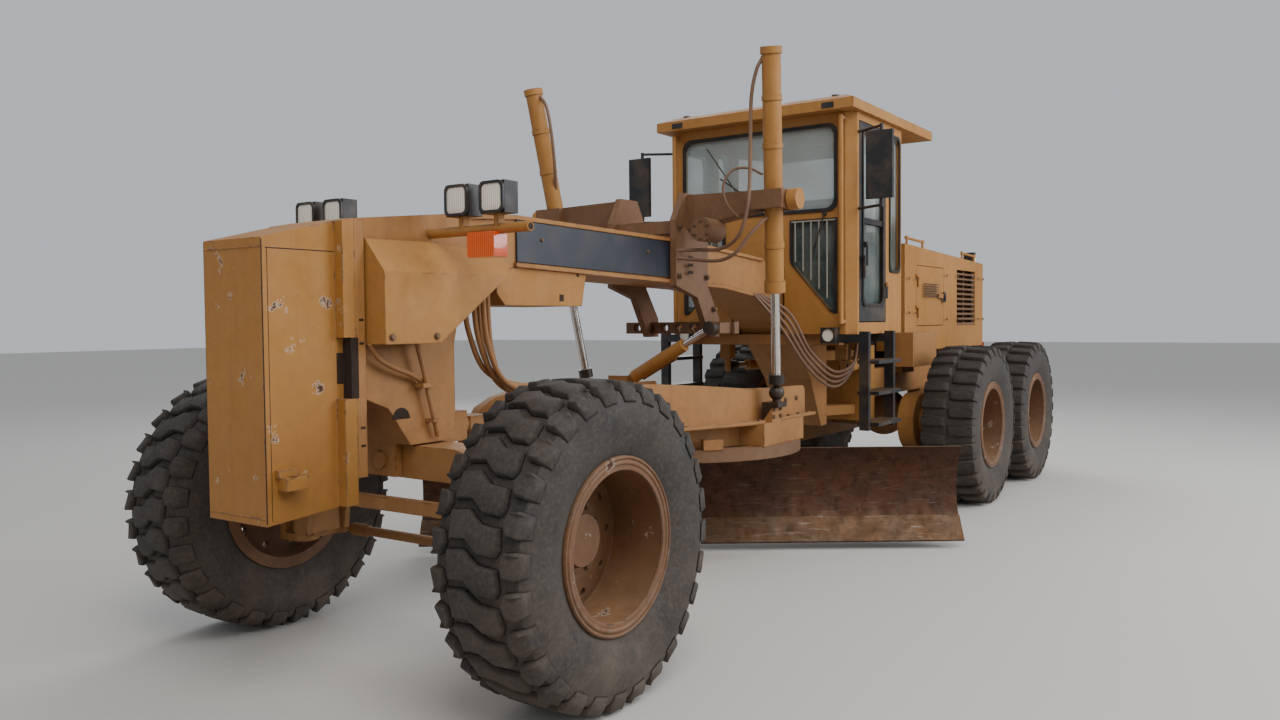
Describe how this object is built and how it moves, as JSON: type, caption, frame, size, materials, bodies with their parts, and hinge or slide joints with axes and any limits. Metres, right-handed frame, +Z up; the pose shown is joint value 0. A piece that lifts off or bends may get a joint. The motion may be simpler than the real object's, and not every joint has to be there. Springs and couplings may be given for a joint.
{
  "type": "motor grader",
  "caption": "Articulated motor grader with a long front frame, steered front axle, drawbar, turning circle and curved blade, a glazed cab, engine hood and tandem drive.",
  "frame": {"origin": "on the ground in the machine's middle plane, midway between the nose block and the rear hitch", "axes": "+X forwards, +Y to the machine's left, +Z up"},
  "size_m": [8.88, 3.1104, 3.131],
  "materials": {
    "frame_paint": "worn matt",
    "body_paint": "faded matt",
    "black_paint": "dusty matt",
    "cab_glass": "dusty",
    "rod_chrome": "polished",
    "worn_steel": "rusty worn",
    "cast_engine": "oily",
    "stack_steel": "rusty",
    "seat_vinyl": "matt",
    "tyre_rubber": "dusty",
    "rim_paint": "rusty paint"
  },
  "bodies": {
    "rear_frame": {"rear_frame": "frame_paint", "rear_tongues": "frame_paint", "rear_hitch": "frame_paint", "powertrain": "cast_engine", "tandem_drive": "frame_paint", "tandem_cases": "frame_paint", "hood": "body_paint", "grilles": "body_paint", "stacks": "stack_steel"},
    "front_frame": {"front_frame": "frame_paint", "nose_block": "body_paint", "side_covers": "body_paint", "hose_cover": "black_paint", "work_lamps": "black_paint", "saddle": "frame_paint", "front_axle": "frame_paint", "cab_shell": "body_paint", "cab_roof": "body_paint", "cab_glass": "cab_glass", "seat": "seat_vinyl", "console": "black_paint", "ladders": "black_paint", "mirrors": "black_paint"},
    "knuckle_left": {"knuckle_left": "frame_paint"},
    "wheel_front_left": {"front_left_tyre": "tyre_rubber", "front_left_rim": "rim_paint"},
    "wheel_middle_left": {"middle_left_tyre": "tyre_rubber", "middle_left_rim": "rim_paint"},
    "wheel_rear_left": {"rear_left_tyre": "tyre_rubber", "rear_left_rim": "rim_paint"},
    "knuckle_right": {"knuckle_right": "frame_paint"},
    "wheel_front_right": {"front_right_tyre": "tyre_rubber", "front_right_rim": "rim_paint"},
    "wheel_middle_right": {"middle_right_tyre": "tyre_rubber", "middle_right_rim": "rim_paint"},
    "wheel_rear_right": {"rear_right_tyre": "tyre_rubber", "rear_right_rim": "rim_paint"},
    "tie_rod": {"tie_rod": "frame_paint"},
    "drawbar": {"drawbar": "frame_paint"},
    "lift_barrel_left": {"lift_barrel_left": "body_paint"},
    "lift_rod_left": {"lift_rod_left": "rod_chrome"},
    "lift_barrel_right": {"lift_barrel_right": "body_paint"},
    "lift_rod_right": {"lift_rod_right": "rod_chrome"},
    "centre_shift_barrel": {"centre_shift_barrel": "body_paint"},
    "centre_shift_rod": {"centre_shift_rod": "rod_chrome"},
    "circle": {"circle_ring": "frame_paint"},
    "blade_carrier": {"blade_carrier": "worn_steel"},
    "blade": {"moldboard": "worn_steel", "cutting_edge": "worn_steel", "side_shift_rod": "rod_chrome"},
    "door_left": {"door_left": "black_paint", "door_left_glass": "cab_glass"},
    "hood_door_left": {"hood_door_left": "body_paint"},
    "artic_barrel_left": {"artic_barrel_left": "body_paint"},
    "artic_rod_left": {"artic_rod_left": "rod_chrome"},
    "door_right": {"door_right": "black_paint", "door_right_glass": "cab_glass"},
    "hood_door_right": {"hood_door_right": "body_paint"},
    "artic_barrel_right": {"artic_barrel_right": "body_paint"},
    "artic_rod_right": {"artic_rod_right": "rod_chrome"}
  },
  "joints": [
    {"name": "articulation", "type": "hinge", "parent": "rear_frame", "child": "front_frame", "pos_m": [-0.85, 0, 0.9], "axis": [0, 0, 1], "range_deg": [-20, 20]},
    {"name": "steer_left", "type": "hinge", "parent": "front_frame", "child": "knuckle_left", "pos_m": [3.6, 0.735, 0.64], "axis": [0, 0, 1], "range_deg": [-50, 50]},
    {"name": "spin_front_left", "type": "hinge", "parent": "knuckle_left", "child": "wheel_front_left", "pos_m": [3.6, 1.042, 0.66], "axis": [0, 1, 0], "continuous": true},
    {"name": "spin_middle_left", "type": "hinge", "parent": "rear_frame", "child": "wheel_middle_left", "pos_m": [-1.725, 1.042, 0.66], "axis": [0, 1, 0], "continuous": true},
    {"name": "spin_rear_left", "type": "hinge", "parent": "rear_frame", "child": "wheel_rear_left", "pos_m": [-3.247, 1.042, 0.66], "axis": [0, 1, 0], "continuous": true},
    {"name": "steer_right", "type": "hinge", "parent": "front_frame", "child": "knuckle_right", "pos_m": [3.6, -0.735, 0.64], "axis": [0, 0, 1], "range_deg": [-50, 50]},
    {"name": "spin_front_right", "type": "hinge", "parent": "knuckle_right", "child": "wheel_front_right", "pos_m": [3.6, -1.042, 0.66], "axis": [0, 1, 0], "continuous": true},
    {"name": "spin_middle_right", "type": "hinge", "parent": "rear_frame", "child": "wheel_middle_right", "pos_m": [-1.725, -1.042, 0.66], "axis": [0, 1, 0], "continuous": true},
    {"name": "spin_rear_right", "type": "hinge", "parent": "rear_frame", "child": "wheel_rear_right", "pos_m": [-3.247, -1.042, 0.66], "axis": [0, 1, 0], "continuous": true},
    {"name": "tie_rod_slide", "type": "slide", "parent": "front_frame", "child": "tie_rod", "axis": [0, 1, 0], "range_m": [-0.209, 0.209]},
    {"name": "drawbar_lift", "type": "hinge", "parent": "front_frame", "child": "drawbar", "pos_m": [3.25, 0, 1.05], "axis": [0, 1, 0], "range_deg": [-17, 11.5]},
    {"name": "lift_swing_left", "type": "hinge", "parent": "front_frame", "child": "lift_barrel_left", "pos_m": [1.45, 0.82, 2.25], "axis": [0, 1, 0], "range_deg": [-6, 4]},
    {"name": "lift_stroke_left", "type": "slide", "parent": "lift_barrel_left", "child": "lift_rod_left", "axis": [-0.1791, -0.0768, -0.9808], "range_m": [-0.41, 0.62]},
    {"name": "lift_swing_right", "type": "hinge", "parent": "front_frame", "child": "lift_barrel_right", "pos_m": [1.45, -0.82, 2.25], "axis": [0, 1, 0], "range_deg": [-6, 4]},
    {"name": "lift_stroke_right", "type": "slide", "parent": "lift_barrel_right", "child": "lift_rod_right", "axis": [-0.1791, 0.0768, -0.9808], "range_m": [-0.41, 0.62]},
    {"name": "centre_shift_swing", "type": "hinge", "parent": "front_frame", "child": "centre_shift_rod", "pos_m": [1.385, 0.35, 1.5], "axis": [1, 0, 0], "range_deg": [-25, 35]},
    {"name": "centre_shift_stroke", "type": "slide", "parent": "centre_shift_rod", "child": "centre_shift_barrel", "axis": [0, -0.8784, -0.4779], "range_m": [-0.2, 0.3]},
    {"name": "circle_turn", "type": "hinge", "parent": "drawbar", "child": "circle", "pos_m": [1.15, 0, 0.74], "axis": [0, 0, -1], "continuous": true},
    {"name": "blade_tip", "type": "hinge", "parent": "circle", "child": "blade_carrier", "pos_m": [0.90425, -0.17207, 0.215], "axis": [-0.5736, 0.8192, 0], "range_deg": [-5, 40]},
    {"name": "blade_shift", "type": "slide", "parent": "blade_carrier", "child": "blade", "axis": [-0.5736, 0.8192, 0], "range_m": [-0.56, 0.61]},
    {"name": "door_left_hinge", "type": "hinge", "parent": "front_frame", "child": "door_left", "pos_m": [-0.48, 0.784, 2.2], "axis": [0, 0, 1], "range_deg": [0, 95]},
    {"name": "hood_door_left_hinge", "type": "hinge", "parent": "rear_frame", "child": "hood_door_left", "pos_m": [-2.077, 0.482, 1.75], "axis": [0, 0, 1], "range_deg": [-100, 0]},
    {"name": "artic_swing_left", "type": "hinge", "parent": "rear_frame", "child": "artic_barrel_left", "pos_m": [-1.04, 0.33, 1.18], "axis": [0, 0, 1], "range_deg": [-18, 18]},
    {"name": "artic_stroke_left", "type": "slide", "parent": "artic_barrel_left", "child": "artic_rod_left", "axis": [0.9725, 0.2329, 0], "range_m": [-0.13, 0.13]},
    {"name": "door_right_hinge", "type": "hinge", "parent": "front_frame", "child": "door_right", "pos_m": [-0.48, -0.784, 2.2], "axis": [0, 0, 1], "range_deg": [-95, 0]},
    {"name": "hood_door_right_hinge", "type": "hinge", "parent": "rear_frame", "child": "hood_door_right", "pos_m": [-2.077, -0.482, 1.75], "axis": [0, 0, 1], "range_deg": [0, 100]},
    {"name": "artic_swing_right", "type": "hinge", "parent": "rear_frame", "child": "artic_barrel_right", "pos_m": [-1.04, -0.33, 1.18], "axis": [0, 0, 1], "range_deg": [-18, 18]},
    {"name": "artic_stroke_right", "type": "slide", "parent": "artic_barrel_right", "child": "artic_rod_right", "axis": [0.9725, -0.2329, 0], "range_m": [-0.13, 0.13]}
  ],
  "couplings": [
    {"joint": "steer_right", "follows": "steer_left", "ratio": 1},
    {"joint": "tie_rod_slide", "follows": "steer_left", "m_per_rad": -0.2385},
    {"joint": "lift_swing_left", "follows": "drawbar_lift", "ratio": 0.3},
    {"joint": "lift_stroke_left", "follows": "drawbar_lift", "m_per_rad": -1.97},
    {"joint": "lift_swing_right", "follows": "drawbar_lift", "ratio": 0.3},
    {"joint": "lift_stroke_right", "follows": "drawbar_lift", "m_per_rad": -1.97},
    {"joint": "centre_shift_swing", "follows": "drawbar_lift", "ratio": -1.9},
    {"joint": "centre_shift_stroke", "follows": "drawbar_lift", "m_per_rad": -0.8},
    {"joint": "artic_swing_left", "follows": "articulation", "ratio": 0.865},
    {"joint": "artic_stroke_left", "follows": "articulation", "m_per_rad": -0.36},
    {"joint": "artic_swing_right", "follows": "articulation", "ratio": 0.865},
    {"joint": "artic_stroke_right", "follows": "articulation", "m_per_rad": 0.36}
  ]
}
